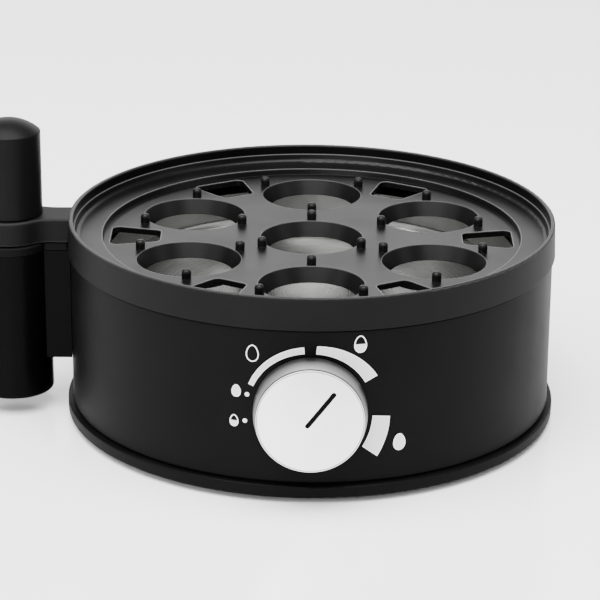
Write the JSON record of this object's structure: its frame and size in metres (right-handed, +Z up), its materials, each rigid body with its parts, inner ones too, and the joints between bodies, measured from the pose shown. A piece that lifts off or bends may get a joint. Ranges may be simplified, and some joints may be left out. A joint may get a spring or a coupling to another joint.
{
  "type": "electric egg cooker",
  "caption": "Round black electric egg cooker with a lift-out egg carrier, a side column with a domed grip and a silver timer knob on the front.",
  "frame": {"origin": "on the table, under the axis of the round body", "axes": "+Z up, -Y is the front with the knob, -X is the side with the column"},
  "size_m": [0.206, 0.182, 0.1058],
  "materials": {
    "black_housing": "fine satin moulding",
    "black_carrier": "satin moulding, a little glossier than the housing",
    "black_grip": "smooth half-gloss",
    "foot_rubber": "matt",
    "gland_rubber": "matt",
    "pan_steel": "satin drawn sheet",
    "seal_silicone": "matt",
    "spreader_aluminium": "mill finish",
    "element_steel": "heat-darkened",
    "terminal_brass": "bright",
    "strap_steel": "zinc-plated",
    "screw_steel": "zinc-plated",
    "thermostat_body": "phenolic",
    "fuse_case": "plain",
    "board_laminate": "solder mask",
    "control_case": "stamped",
    "relay_case": "moulded",
    "buzzer_case": "moulded",
    "block_plastic": "natural polyamide",
    "knob_metal": "turned and brushed",
    "knob_face_metal": "satin",
    "pointer_black": "printed dark",
    "shaft_metal": "turned"
  },
  "bodies": {
    "base": {"body_shell": "black_housing", "bottom_cover": "black_housing", "side_column": "black_housing", "column_collar": "black_housing", "rubber_feet": "foot_rubber", "cord_gland": "gland_rubber", "heating_pan": "pan_steel", "pan_seal": "seal_silicone", "heat_spreader": "spreader_aluminium", "heating_element": "element_steel", "element_terminals": "terminal_brass", "pan_strap": "strap_steel", "pan_stud": "strap_steel", "strap_nut": "strap_steel", "strap_screws": "screw_steel", "bottom_screws": "screw_steel", "column_screws": "screw_steel", "board_screws": "screw_steel", "terminal_screws": "terminal_brass", "thermostat": "thermostat_body", "thermostat_bracket": "strap_steel", "thermal_fuse": "fuse_case", "fuse_clamp": "strap_steel", "control_board": "board_laminate", "rotary_control": "control_case", "relay": "relay_case", "buzzer": "buzzer_case", "terminal_block": "block_plastic"},
    "knob": {"knob_skirt": "knob_metal", "knob_face": "knob_face_metal", "knob_pointer": "pointer_black", "knob_shaft": "shaft_metal"},
    "carrier": {"egg_carrier": "black_carrier", "handle_grip": "black_grip", "handle_screw": "screw_steel"}
  },
  "joints": [
    {"name": "knob_turn", "type": "hinge", "parent": "base", "child": "knob", "pos_m": [0, -0.09, 0.03275], "axis": [0, 1, 0], "range_deg": [-142, 93]},
    {"name": "carrier_lift", "type": "slide", "parent": "base", "child": "carrier", "axis": [0, 0, 1], "range_m": [0, 0.06]}
  ]
}
